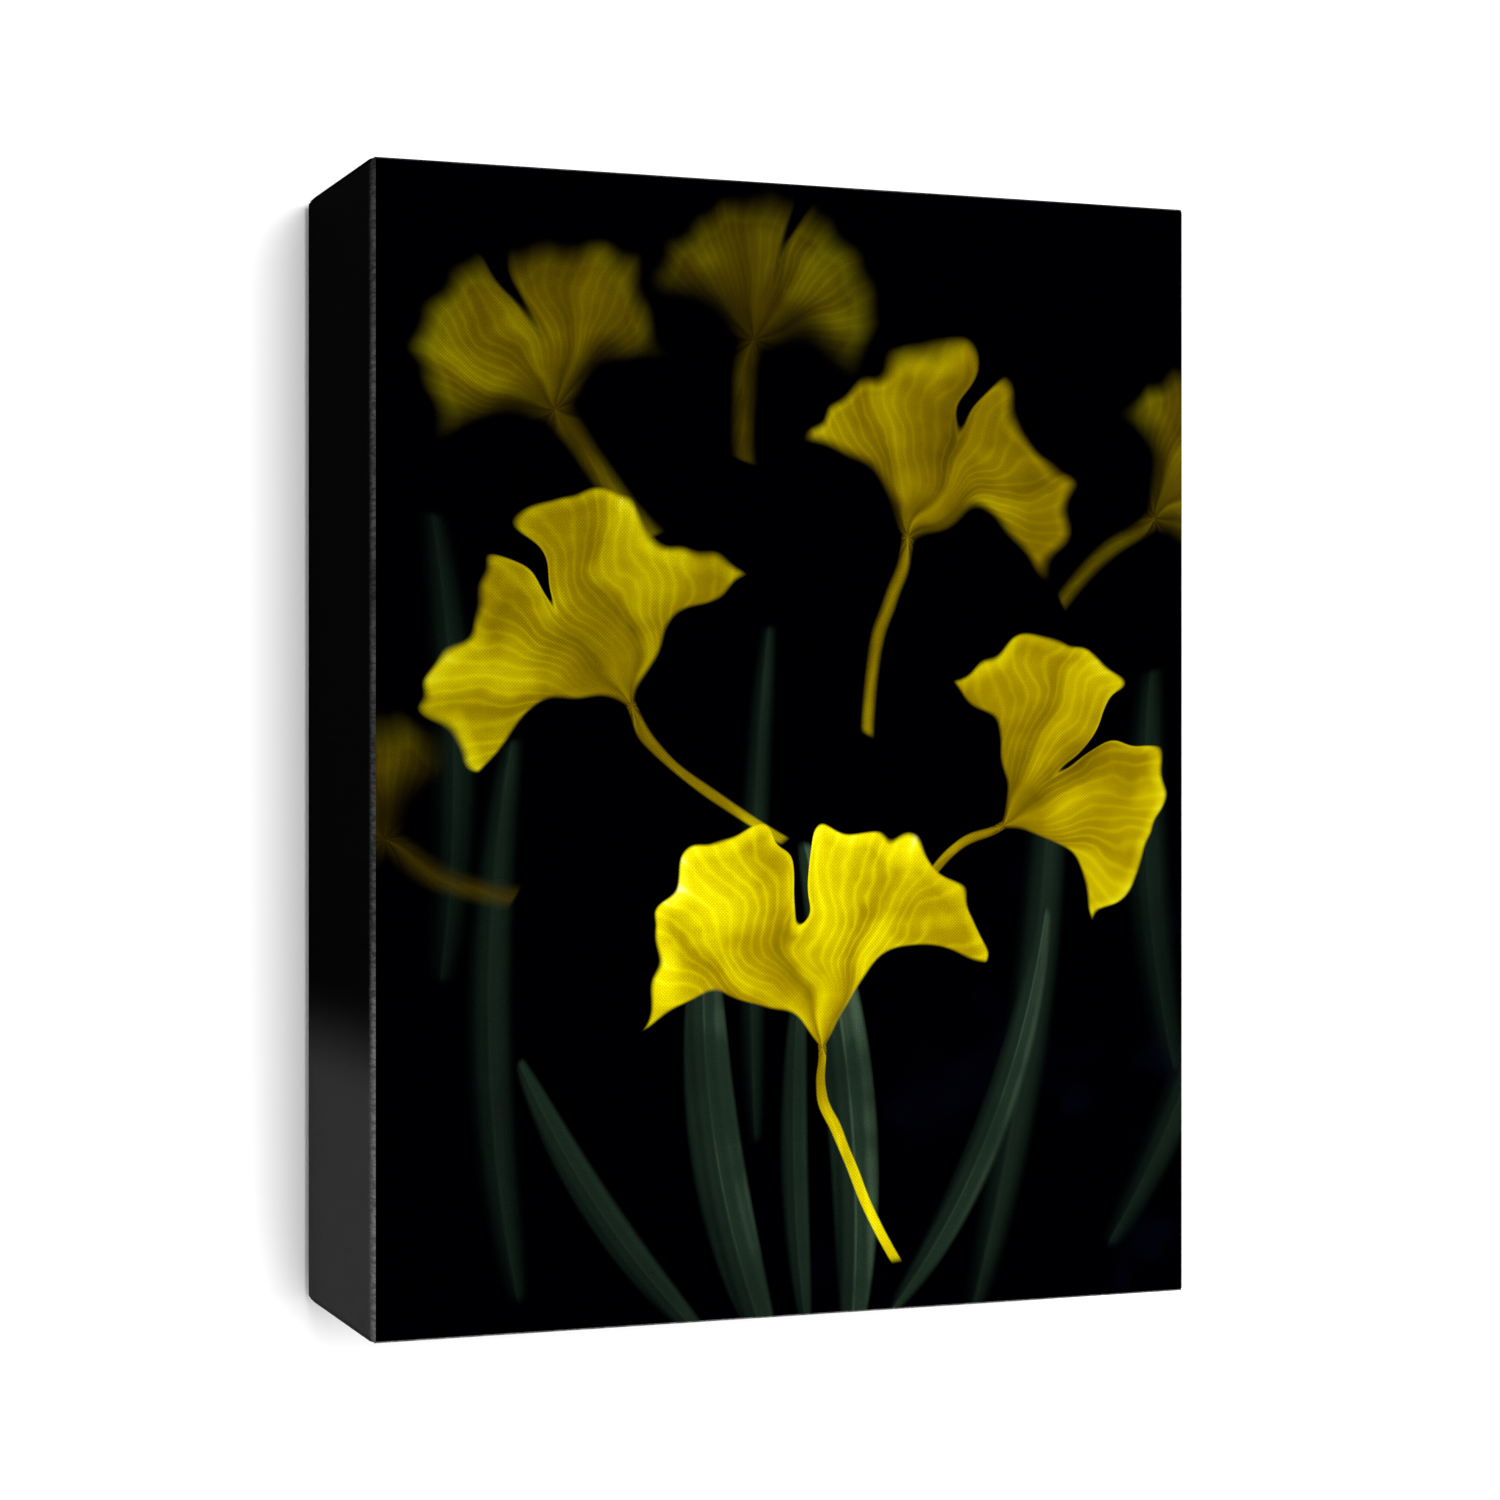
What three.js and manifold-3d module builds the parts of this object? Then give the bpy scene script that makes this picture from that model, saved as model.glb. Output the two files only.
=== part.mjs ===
// A small picture printed on canvas, wrapped round deep stretcher bars and hung on a wall.
// Millimetres, +Z up. The picture faces -Y and the wall is the plane y = 0. The origin is
// the point on the wall where the nail stands that carries the hanger's middle notch.

import * as THREE from 'three';
import { RoundedBoxGeometry } from 'three/addons/geometries/RoundedBoxGeometry.js';
import { mergeVertices } from 'three/addons/utils/BufferGeometryUtils.js';
import Module from 'manifold-3d';

const wasm = await Module();
wasm.setup();

// Outside of the stretched canvas.
const canvasWidth = 155.5;
const canvasHeight = 203;
const canvasDepth = 50.3;

// The cloth.
const clothThickness = 0.5;
const foldRadius = 0.8;
const innerFoldRadius = 0.3;
const foldSteps = 3;
const flapWidth = 20;
const tuckRise = 0.5;
const tuckInset = 0.8;
const tuckStart = 2.3;
const tuckRoot = 0.2;
const flapEndTrim = 1.2;

// Room between pieces that touch, and under what is nailed or glued on.
const clearance = 0.3;
const seat = 0.1;

// Stretcher bars, cut from one moulding.
const barWidth = 25;
const barRounding = 1;
const beadWidth = 3;
const faceSlope = 3;

// The joint at a mitred corner: a tongue from each bar, one deeper than the other.
const tongueThickness = 4;
const tongueEnd = 3;
const tongueRoot = 5;
const shallowLevel = 17;
const deepLevel = 31;

// Wedges that tighten the corners.
const keyLength = 25;
const keyTip = 3;
const keyButt = 11;
const keySink = 14;
const keySlotWidth = 8;

// Staples in the flaps.
const stapleWidth = 10;
const stapleWire = 0.6;
const stapleBand = 1.2;
const stapleLeg = 8;
const stapleRow = 10;
const cornerStapleRow = 7;
const cornerStapleInset = 14;
const shortSideStaples = [-34, 34];
const longSideStaples = [-68, -34, 0, 34, 68];

// Sawtooth hanger on the top bar, and its nails.
const hangerLength = 44;
const hangerHeight = 8.5;
const hangerSteel = 0.8;
const hangerRise = 1.6;
const hangerRaised = 23;
const hangerRamp = 2.5;
const hangerDrop = 12;
const toothPitch = 2.2;
const toothDepth = 1.5;
const toothHalfWidth = 1;
const toothCount = 9;
const nailPlace = 18;
const nailRadius = 0.7;
const nailLength = 12;
const nailPoint = 3;
const nailHeadRadius = 2.1;
const nailHeadHeight = 0.8;
const nailCrownRadius = 1.3;

// Round rubber pads at the lower back corners.
const bumperRadius = 5;
const bumperHeight = 3;
const bumperEdge = 0.6;
const bumperFromSide = 10;
const bumperFromBottom = 22;

// Sides of what is round.
const roundSides = 24;

// Places that follow from these. Depth is counted from the picture's face, back to the wall.
const barFront = clothThickness + clearance;
const barBack = canvasDepth - clothThickness - clearance;
const barHalfWidth = canvasWidth / 2 - clothThickness - clearance;
const barHalfHeight = canvasHeight / 2 - clothThickness - clearance;
const wallDepth = canvasDepth + seat + bumperHeight;
const hangHeight = canvasHeight / 2 - hangerDrop - hangerHeight / 2 + toothDepth;

// How far a cutting shape runs past what it cuts, and past a face that it only has to clear.
const reach = 60;
const overshoot = 1;

const canvasMaterial = new THREE.MeshStandardMaterial({ color: 0x0a0a0b, roughness: 0.8, metalness: 0 });
const pineMaterial = new THREE.MeshStandardMaterial({ color: 0xdcbb88, roughness: 0.7, metalness: 0 });
const keyMaterial = new THREE.MeshStandardMaterial({ color: 0xc79f6a, roughness: 0.75, metalness: 0 });
const stapleMaterial = new THREE.MeshStandardMaterial({ color: 0xb9bcc0, roughness: 0.35, metalness: 1 });
const hangerMaterial = new THREE.MeshStandardMaterial({ color: 0xc9ccd0, roughness: 0.3, metalness: 1 });
const rubberMaterial = new THREE.MeshStandardMaterial({ color: 0x2b2c2e, roughness: 0.85, metalness: 0 });

function toSolid(geometry) {
  const bare = geometry.clone();
  bare.deleteAttribute('normal');
  bare.deleteAttribute('uv');
  const merged = mergeVertices(bare, 1e-4);
  return new wasm.Manifold(new wasm.Mesh({
    numProp: 3,
    vertProperties: merged.attributes.position.array,
    triVerts: Uint32Array.from(merged.index.array),
  }));
}

function toGeometry(solid) {
  const mesh = solid.getMesh();
  const geometry = new THREE.BufferGeometry();
  geometry.setAttribute('position', new THREE.BufferAttribute(mesh.vertProperties, 3));
  geometry.setIndex(new THREE.BufferAttribute(mesh.triVerts, 1));
  geometry.computeVertexNormals();
  return geometry;
}

function outline(points) {
  return new THREE.Shape(points.map(([x, y]) => new THREE.Vector2(x, y)));
}

// A plate parallel to the picture: its outline is in (x, z), from one depth back to another.
function plate(points, near, far) {
  const geometry = new THREE.ExtrudeGeometry(outline(points), { depth: far - near, bevelEnabled: false });
  geometry.rotateX(Math.PI / 2);
  geometry.translate(0, far, 0);
  return geometry;
}

// A level plate: its outline is in (x, y), from one height up to another.
function levelPlate(points, low, high) {
  const geometry = new THREE.ExtrudeGeometry(outline(points), { depth: high - low, bevelEnabled: false });
  geometry.translate(0, 0, low);
  return geometry;
}

function rectangle(left, right, low, high) {
  return [[left, low], [right, low], [right, high], [left, high]];
}

// A round piece along y, from its profile of [radius, depth] points.
function turned(profile) {
  return new THREE.LatheGeometry(profile.map(([r, y]) => new THREE.Vector2(r, y)), roundSides);
}

function cutAll(solid, geometries) {
  return geometries.reduce((rest, geometry) => rest.subtract(toSolid(geometry)), solid);
}

function joinAll(solid, geometries) {
  return geometries.reduce((rest, geometry) => rest.add(toSolid(geometry)), solid);
}

// The four sides, going round from the top. Each has a frame of its own, turned about y, in
// which x runs along the side and z points outwards from the middle of the picture.
const shortSide = { half: barHalfHeight, length: 2 * barHalfWidth, staples: shortSideStaples, folds: true };
const longSide = { half: barHalfWidth, length: 2 * barHalfHeight, staples: longSideStaples, folds: false };
const sides = [
  { ...shortSide, name: 'top', turn: 0 },
  { ...longSide, name: 'right', turn: 1 },
  { ...shortSide, name: 'bottom', turn: 2 },
  { ...longSide, name: 'left', turn: 3 },
];

// Staples of one side, as {x, z, rise}: the middle of the crown, from the bar's outer face.
function staplePlaces(side) {
  const places = side.staples.map((x) => ({ x, z: -stapleRow, rise: 0 }));
  if (side.folds) {
    for (const end of [-1, 1]) {
      places.push({ x: end * (side.length / 2 - cornerStapleInset), z: -cornerStapleRow, rise: tuckRise });
    }
  }
  return places;
}

// The holes that a staple's two legs stand in.
function legHoles(place) {
  const middle = stapleWidth / 2 - stapleWire / 2;
  const halfAlong = stapleWire / 2 + clearance;
  const halfAcross = stapleBand / 2 + clearance;
  const tip = canvasDepth - stapleLeg - clearance;
  return [-1, 1].map((leg) => {
    const x = place.x + leg * middle;
    return plate(
      rectangle(x - halfAlong, x + halfAlong, place.z - halfAcross, place.z + halfAcross),
      tip,
      canvasDepth + reach,
    );
  });
}

// The holes that the hanger's nails stand in. The hanger sits on the top side.
function nailHoles() {
  const radius = nailRadius + clearance;
  const tip = canvasDepth - nailLength;
  const profile = [[0, tip], [radius, tip], [radius, canvasDepth + reach], [0, canvasDepth + reach]];
  return [-1, 1].map((end) => {
    const hole = turned(profile);
    hole.translate(end * nailPlace, 0, canvasHeight / 2 - hangerDrop - barHalfHeight);
    return hole;
  });
}

function holesOfSide(side) {
  const holes = staplePlaces(side).flatMap(legHoles);
  return side.name === 'top' ? holes.concat(nailHoles()) : holes;
}

// From a side's own frame, with z = 0 on the bar's outer face, to the whole canvas.
function sideMatrix(side) {
  const turn = new THREE.Matrix4().makeRotationY(side.turn * Math.PI / 2);
  return turn.multiply(new THREE.Matrix4().makeTranslation(0, 0, side.half));
}

// The cloth as one body: face, four sides, flaps on the back, and the tucked corners, which
// stand a little proud on the top and bottom sides and where one flap lies on the next.
function makeCanvas() {
  const outer = new RoundedBoxGeometry(canvasWidth, canvasDepth, canvasHeight, foldSteps, foldRadius);
  const inner = new RoundedBoxGeometry(
    canvasWidth - 2 * clothThickness,
    canvasDepth - 2 * clothThickness,
    canvasHeight - 2 * clothThickness,
    foldSteps,
    innerFoldRadius,
  );
  const windowHalfWidth = canvasWidth / 2 - flapWidth;
  const windowHalfHeight = canvasHeight / 2 - flapWidth;
  const backWindow = plate(
    rectangle(-windowHalfWidth, windowHalfWidth, -windowHalfHeight, windowHalfHeight),
    canvasDepth / 2,
    canvasDepth + reach,
  );
  for (const box of [outer, inner]) {
    box.translate(0, canvasDepth / 2, 0);
  }
  const tucks = [];
  for (const end of [-1, 1]) {
    for (const up of [-1, 1]) {
      tucks.push(sideTuck(end, up), backTuck(end, up));
    }
  }
  const holes = sides.flatMap((side) => {
    const matrix = sideMatrix(side);
    return holesOfSide(side).map((hole) => hole.applyMatrix4(matrix));
  });
  return cutAll(joinAll(toSolid(outer), tucks), [inner, backWindow, ...holes]);
}

// The spare cloth of a corner lies folded under the top or bottom side, as a triangle that
// grows from nothing at the picture's corner to the whole depth at the back.
function sideTuck(end, up) {
  const edge = canvasWidth / 2 - tuckInset;
  const back = canvasDepth - tuckInset;
  const points = [
    [end * edge, tuckStart],
    [end * edge, back],
    [end * (edge - back + tuckStart), back],
  ];
  const root = up * (canvasHeight / 2 - tuckRoot);
  const top = up * (canvasHeight / 2 + tuckRise);
  return levelPlate(points, Math.min(root, top), Math.max(root, top));
}

// On the back, the end of a top or bottom flap is cut at 45 degrees and lies on the side flap.
function backTuck(end, up) {
  const outside = canvasWidth / 2 - tuckInset - flapEndTrim;
  const inside = canvasWidth / 2 - flapWidth;
  const head = canvasHeight / 2 - tuckInset;
  const points = [
    [end * outside, up * head],
    [end * inside, up * head],
    [end * inside, up * (head - outside + inside)],
  ];
  return plate(points, canvasDepth - tuckRoot, canvasDepth + tuckRise);
}

// Section of the moulding in (depth, outwards): only the bead at the outer edge carries the
// cloth, and the face falls away behind it. The two outer edges are rounded.
function barSection() {
  const r = barRounding;
  const section = new THREE.Shape();
  section.moveTo(barFront + r, 0);
  section.lineTo(barBack - r, 0);
  section.absarc(barBack - r, -r, r, Math.PI / 2, 0, true);
  section.lineTo(barBack, -barWidth + r);
  section.lineTo(barBack - r, -barWidth);
  section.lineTo(barFront + faceSlope, -barWidth);
  section.lineTo(barFront, -beadWidth);
  section.lineTo(barFront, -r);
  section.absarc(barFront + r, -r, r, Math.PI, Math.PI / 2, true);
  return section;
}

// A plate at one end of a bar, from points [from the end, in from the outer face].
function endPlate(side, end, points, near, far) {
  return plate(points.map(([along, inwards]) => [end * (side.length / 2 - along), -inwards]), near, far);
}

// All four bars are alike but for length: the left end has its tongue at the shallow level
// and its slot at the deep one, and the right end the other way round.
function slotLevel(end) {
  return end > 0 ? shallowLevel : deepLevel;
}

function makeBar(side) {
  const blank = new THREE.ExtrudeGeometry(barSection(), {
    depth: side.length,
    bevelEnabled: false,
    curveSegments: foldSteps,
  });
  blank.translate(0, 0, -side.length / 2);
  blank.applyMatrix4(new THREE.Matrix4().makeBasis(
    new THREE.Vector3(0, 1, 0),
    new THREE.Vector3(0, 0, 1),
    new THREE.Vector3(1, 0, 0),
  ));
  const mitreRoom = clearance / Math.SQRT2;
  const halfTongue = tongueThickness / 2;
  const halfSlot = halfTongue + clearance;
  let bar = toSolid(blank);
  for (const end of [-1, 1]) {
    const waste = [
      [mitreRoom - overshoot, -overshoot],
      [mitreRoom + reach, reach],
      [-reach, reach],
      [-reach, -overshoot],
    ];
    bar = bar.subtract(toSolid(endPlate(side, end, waste, 0, canvasDepth)));
  }
  for (const end of [-1, 1]) {
    const tongueAt = slotLevel(-end);
    const tongue = rectangle(tongueEnd, barWidth + tongueRoot, tongueEnd, barWidth);
    bar = bar.add(toSolid(endPlate(side, end, tongue, tongueAt - halfTongue, tongueAt + halfTongue)));
    const slotAt = slotLevel(end);
    const slot = rectangle(-overshoot, barWidth + clearance, tongueEnd - clearance, barWidth + overshoot);
    const keyWay = rectangle(
      barWidth - overshoot,
      barWidth + keySlotWidth,
      barWidth - keySink - overshoot,
      barWidth + overshoot,
    );
    for (const points of [slot, keyWay]) {
      bar = bar.subtract(toSolid(endPlate(side, end, points, slotAt - halfSlot, slotAt + halfSlot)));
    }
  }
  return cutAll(bar, holesOfSide(side));
}

// A wedge driven into a bar's slot, with its straight edge along the next bar.
function makeKey(side, end) {
  const edge = barWidth + clearance;
  const tip = barWidth - keySink;
  const points = [
    [edge, tip],
    [edge + keyTip, tip],
    [edge + keyButt, tip + keyLength],
    [edge, tip + keyLength],
  ];
  const level = slotLevel(end);
  return endPlate(side, end, points, level - tongueThickness / 2, level + tongueThickness / 2);
}

// Crown and two legs, bent from one flat wire.
function makeStaple() {
  const half = stapleWidth / 2;
  const points = [
    [-half, stapleWire],
    [-half, -stapleLeg],
    [-half + stapleWire, -stapleLeg],
    [-half + stapleWire, 0],
    [half - stapleWire, 0],
    [half - stapleWire, -stapleLeg],
    [half, -stapleLeg],
    [half, stapleWire],
  ];
  return levelPlate(points, -stapleBand / 2, stapleBand / 2);
}

// A steel strip nailed down at both ends, raised between them, with teeth below.
function makeHanger() {
  const raised = hangerRaised / 2;
  const foot = raised + hangerRamp;
  const bend = hangerSteel * Math.tan(Math.atan2(hangerRise, hangerRamp) / 2);
  const half = hangerLength / 2;
  const strip = levelPlate([
    [-half, 0],
    [-foot, 0],
    [-raised, hangerRise],
    [raised, hangerRise],
    [foot, 0],
    [half, 0],
    [half, hangerSteel],
    [foot + bend, hangerSteel],
    [raised + bend, hangerRise + hangerSteel],
    [-raised - bend, hangerRise + hangerSteel],
    [-foot - bend, hangerSteel],
    [-half, hangerSteel],
  ], -hangerHeight / 2, hangerHeight / 2);
  const comb = [];
  const low = -hangerHeight / 2;
  for (let i = 0; i < toothCount; i += 1) {
    const middle = (i - (toothCount - 1) / 2) * toothPitch;
    comb.push([middle - toothHalfWidth, low], [middle, low + toothDepth], [middle + toothHalfWidth, low]);
  }
  const last = comb[comb.length - 1][0];
  comb.push([last, low - overshoot], [-last, low - overshoot]);
  const through = hangerRise + hangerSteel + overshoot;
  const holes = [-1, 1].map((end) => {
    const radius = nailRadius + clearance;
    const hole = turned([[0, -overshoot], [radius, -overshoot], [radius, through], [0, through]]);
    hole.translate(end * nailPlace, 0, 0);
    return hole;
  });
  return cutAll(toSolid(strip), [plate(comb, -overshoot, through), ...holes]);
}

function makeNail() {
  return turned([
    [0, -nailLength],
    [nailRadius, -nailLength + nailPoint],
    [nailRadius, 0],
    [nailHeadRadius, 0],
    [nailHeadRadius, nailHeadHeight / 2],
    [nailCrownRadius, nailHeadHeight],
    [0, nailHeadHeight],
  ]);
}

function makeBumper() {
  return turned([
    [0, 0],
    [bumperRadius, 0],
    [bumperRadius, bumperHeight - bumperEdge],
    [bumperRadius - bumperEdge, bumperHeight],
    [0, bumperHeight],
  ]);
}

const group = new THREE.Group();
group.position.set(0, -wallDepth, -hangHeight);

function place(parent, name, shape, material, x, y, z) {
  const geometry = shape.isBufferGeometry ? shape : toGeometry(shape);
  const mesh = new THREE.Mesh(geometry, material);
  mesh.name = name;
  mesh.position.set(x, y, z);
  parent.add(mesh);
}

place(group, 'canvas', makeCanvas(), canvasMaterial, 0, 0, 0);

let stapleNumber = 0;
for (const side of sides) {
  const frame = new THREE.Group();
  frame.rotation.y = side.turn * Math.PI / 2;
  group.add(frame);
  place(frame, `bar_${side.name}`, makeBar(side), pineMaterial, 0, 0, side.half);
  for (const end of [-1, 1]) {
    const letter = end < 0 ? 'a' : 'b';
    place(frame, `key_${side.name}_${letter}`, makeKey(side, end), keyMaterial, 0, 0, side.half);
  }
  for (const spot of staplePlaces(side)) {
    stapleNumber += 1;
    const name = `staple_${String(stapleNumber).padStart(2, '0')}`;
    const crownDepth = canvasDepth + seat + spot.rise;
    place(frame, name, makeStaple(), stapleMaterial, spot.x, crownDepth, side.half + spot.z);
  }
}

const hangerLevel = canvasHeight / 2 - hangerDrop;
place(group, 'hanger', makeHanger(), hangerMaterial, 0, canvasDepth + seat, hangerLevel);
for (const end of [-1, 1]) {
  const hand = end < 0 ? 'left' : 'right';
  const nailSeat = canvasDepth + 2 * seat + hangerSteel;
  place(group, `hanger_nail_${hand}`, makeNail(), stapleMaterial, end * nailPlace, nailSeat, hangerLevel);
  const bumperX = end * (canvasWidth / 2 - bumperFromSide);
  const bumperZ = -canvasHeight / 2 + bumperFromBottom;
  place(group, `bumper_${hand}`, makeBumper(), rubberMaterial, bumperX, canvasDepth + seat, bumperZ);
}

export default group;
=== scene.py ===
"""The looks of a small picture printed on canvas and wrapped round deep stretcher bars.

Metres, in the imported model's frame: the picture faces -Y, the wall is the plane y = 0, and +Z
is up.
"""

import math
import random

import bmesh
import bpy
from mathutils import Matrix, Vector, noise


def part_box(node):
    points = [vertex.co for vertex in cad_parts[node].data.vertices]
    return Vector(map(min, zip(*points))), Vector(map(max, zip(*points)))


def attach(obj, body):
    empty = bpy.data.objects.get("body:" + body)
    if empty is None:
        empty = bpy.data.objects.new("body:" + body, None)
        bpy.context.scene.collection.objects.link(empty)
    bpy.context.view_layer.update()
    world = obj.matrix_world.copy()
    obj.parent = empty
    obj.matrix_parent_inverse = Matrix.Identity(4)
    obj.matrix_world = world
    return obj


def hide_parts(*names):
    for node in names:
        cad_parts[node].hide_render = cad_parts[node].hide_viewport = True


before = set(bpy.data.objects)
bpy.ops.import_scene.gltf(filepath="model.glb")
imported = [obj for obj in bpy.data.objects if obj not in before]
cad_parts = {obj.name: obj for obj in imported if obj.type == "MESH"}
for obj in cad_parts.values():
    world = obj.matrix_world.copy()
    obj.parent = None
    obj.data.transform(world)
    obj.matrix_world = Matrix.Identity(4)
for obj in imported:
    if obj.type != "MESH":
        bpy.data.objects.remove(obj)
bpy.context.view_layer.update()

# ---------------------------------------------------------------------------------------------
# The four stretcher bars. Planed pine cut from one moulding, with eased edges and the grain
# along each bar, from different parts of the tree. They are mitred at the corners, where a
# tongue of each bar stands in a slot of the next.
# ---------------------------------------------------------------------------------------------

mm = 0.001


class Wire:
    """A value on its way through a node tree. Arithmetic on wires adds the nodes that do it."""

    def __init__(self, tree, socket):
        self.tree = tree
        self.socket = socket

    def maths(self, operation, *others):
        return add_node(self.tree, "ShaderNodeMath", [self, *others], operation=operation)

    def __add__(self, other):
        return self.maths("ADD", other)

    def __sub__(self, other):
        return self.maths("SUBTRACT", other)

    def __mul__(self, other):
        return self.maths("MULTIPLY", other)

    def __truediv__(self, other):
        return self.maths("DIVIDE", other)

    def less_from(self, whole):
        """What is left of the whole when this is taken from it."""
        return (self * -1.0) + whole

    def power(self, exponent):
        return self.maths("POWER", exponent)

    def size(self):
        return self.maths("ABSOLUTE")

    def wave(self):
        """A sine wave between 0 and 1."""
        return self.maths("SINE") * 0.5 + 0.5

    def rise(self, low, high):
        """0 up to low, 1 from high, and smooth between them."""
        values = [self, low, high, 0.0, 1.0]
        return add_node(self.tree, "ShaderNodeMapRange", values, interpolation_type="SMOOTHSTEP")

    def stretched(self, across, up, deep=1.0):
        """A place, with its three directions multiplied."""
        values = [self, (across, up, deep)]
        return add_node(self.tree, "ShaderNodeVectorMath", values, operation="MULTIPLY")

    def moved(self, across, up, deep=0.0):
        """A place, shifted in its three directions."""
        values = [self, (across, up, deep)]
        return add_node(self.tree, "ShaderNodeVectorMath", values, operation="ADD")

    def parts(self):
        """The three numbers of a place, as a list of wires."""
        node = self.tree.nodes.new("ShaderNodeSeparateXYZ")
        self.tree.links.new(self.socket, node.inputs[0])
        return [Wire(self.tree, output) for output in node.outputs]

    def cloud(self, scale, detail=2.0, roughness=0.5, output=0):
        """Noise from 0 to 1 at this place, or at output 1 a vector of three."""
        values = [self, None, scale, detail, roughness]
        return add_node(self.tree, "ShaderNodeTexNoise", values, output)

    def mixed(self, under, over):
        """The colour under where this is 0, and the colour over where it is 1."""
        return blend(self.tree, self, under, over)

    def coloured(self, stops):
        """A colour ramp over this value, from (position, colour) stops."""
        node = self.tree.nodes.new("ShaderNodeValToRGB")
        self.tree.links.new(self.socket, node.inputs[0])
        elements = node.color_ramp.elements
        while len(elements) < len(stops):
            elements.new(0.5)
        for element, (position, colour) in zip(elements, stops):
            element.position = position
            element.color = colour
        return Wire(self.tree, node.outputs[0])


def plug(tree, value, socket):
    """Joins a wire to a socket, or sets it to a plain value. None leaves the socket alone."""
    if isinstance(value, Wire):
        tree.links.new(value.socket, socket)
    elif value is not None:
        socket.default_value = value


def add_node(tree, kind, inputs=(), output=0, **settings):
    """A new node with its settings and inputs, as the wire that leaves one of its outputs."""
    node = tree.nodes.new(kind)
    for name, value in settings.items():
        setattr(node, name, value)
    for slot, value in enumerate(inputs):
        plug(tree, value, node.inputs[slot])
    return Wire(tree, node.outputs[output])


def blend(tree, share, under, over):
    """The colour under where share is 0, and the colour over where it is 1."""
    node = tree.nodes.new("ShaderNodeMix")
    node.data_type = "RGBA"
    colour_slots = {0: share, 6: under, 7: over}
    for slot, value in colour_slots.items():
        plug(tree, value, node.inputs[slot])
    return Wire(tree, node.outputs[2])


def shade(red, green, blue):
    """A colour named by its 0 to 255 values on a screen, as the linear colour that nodes use."""
    linear = []
    for value in (red / 255, green / 255, blue / 255):
        linear.append(value / 12.92 if value <= 0.04045 else ((value + 0.055) / 1.055) ** 2.4)
    return (*linear, 1.0)


def start_material(name):
    """A new material, its node tree and its shader."""
    material = bpy.data.materials.new(name)
    material.use_nodes = True
    tree = material.node_tree
    return material, tree, tree.nodes["Principled BSDF"]


def object_place(tree):
    """A point's place on the finished print, in metres."""
    object_output = 3
    return add_node(tree, "ShaderNodeTexCoord", output=object_output)


def mapped(place, location=(0, 0, 0), rotation=(0, 0, 0), scale=(1, 1, 1)):
    """A place seen from a frame of its own, which lies at location, turned and scaled."""
    values = [place, location, rotation, scale]
    return add_node(place.tree, "ShaderNodeMapping", values, vector_type="TEXTURE")


def relief(tree, shader, height, depth):
    """Gives a shader's surface this height, from 0 to 1, over a depth in metres."""
    bump = tree.nodes.new("ShaderNodeBump")
    bump.inputs["Distance"].default_value = depth
    plug(tree, height, bump.inputs["Height"])
    tree.links.new(bump.outputs[0], shader.inputs["Normal"])


def start_group(name, inputs, outputs):
    """A node group, with its inputs as a dict of wires and the node that its outputs go into."""
    group = bpy.data.node_groups.new(name, "ShaderNodeTree")
    for side, sockets in (("INPUT", inputs), ("OUTPUT", outputs)):
        for socket, kind in sockets.items():
            group.interface.new_socket(socket, in_out=side, socket_type="NodeSocket" + kind)
    entry = group.nodes.new("NodeGroupInput")
    leave = group.nodes.new("NodeGroupOutput")
    return group, {socket: Wire(group, entry.outputs[socket]) for socket in inputs}, leave


def use_group(tree, group, **inputs):
    """A group placed in a tree, with its outputs as a dict of wires."""
    node = tree.nodes.new("ShaderNodeGroup")
    node.node_tree = group
    for name, value in inputs.items():
        plug(tree, value, node.inputs[name.replace("_", " ")])
    return {output.name: Wire(tree, output) for output in node.outputs}


# How fast the wood changes along the grain and in the two directions across it, per metre.
ring_drift_scale = (5, 30, 30)
fibre_scale = (45, 1500, 1500)
streak_scale = (9, 260, 260)
ring_drift = 6 * mm


def make_wood_grain():
    """Growth rings round a heart that runs along x, and fine fibres along it."""
    group, given, leave = start_group(
        "wood grain",
        {"Place": "Vector", "Ring Width": "Float"},
        {"Late Wood": "Float", "Fibre": "Float", "Height": "Float"},
    )
    place = given["Place"]
    drift = place.stretched(*ring_drift_scale).cloud(1.0, detail=3) - 0.5
    _, across, deep = place.parts()
    radius = (across * across + deep * deep).power(0.5) + drift * ring_drift
    rings = radius / given["Ring Width"]

    # Good and lean years make wide and narrow rings. In each, the late wood darkens slowly and
    # ends at once, and some years have more of it than others.
    years = rings + (rings * 0.9).maths("SINE") * 0.45 + (rings * 2.3).maths("SINE") * 0.16
    ring = years.maths("FRACT")
    year = [None, years.maths("FLOOR")]
    season = add_node(group, "ShaderNodeTexWhiteNoise", year, noise_dimensions="1D")
    late = ring.rise(0.30, 0.92) * ring.rise(1.0, 0.93) * (season * 0.75 + 0.25)
    fibre = place.stretched(*fibre_scale).cloud(1.0, detail=3, roughness=0.6)
    streak = place.stretched(*streak_scale).cloud(1.0, detail=2)
    plug(group, late * (streak * 0.8 + 0.5), leave.inputs["Late Wood"])
    plug(group, fibre * 0.6 + streak * 0.4, leave.inputs["Fibre"])
    plug(group, late * 0.35 + fibre * 0.65, leave.inputs["Height"])
    return group


wood_grain = make_wood_grain()
pine_early_dark = shade(214, 184, 138)
pine_early_light = shade(235, 211, 171)
pine_late = shade(198, 150, 96)
pine_ring = 2.9 * mm
pine_relief = 0.12 * mm


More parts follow.
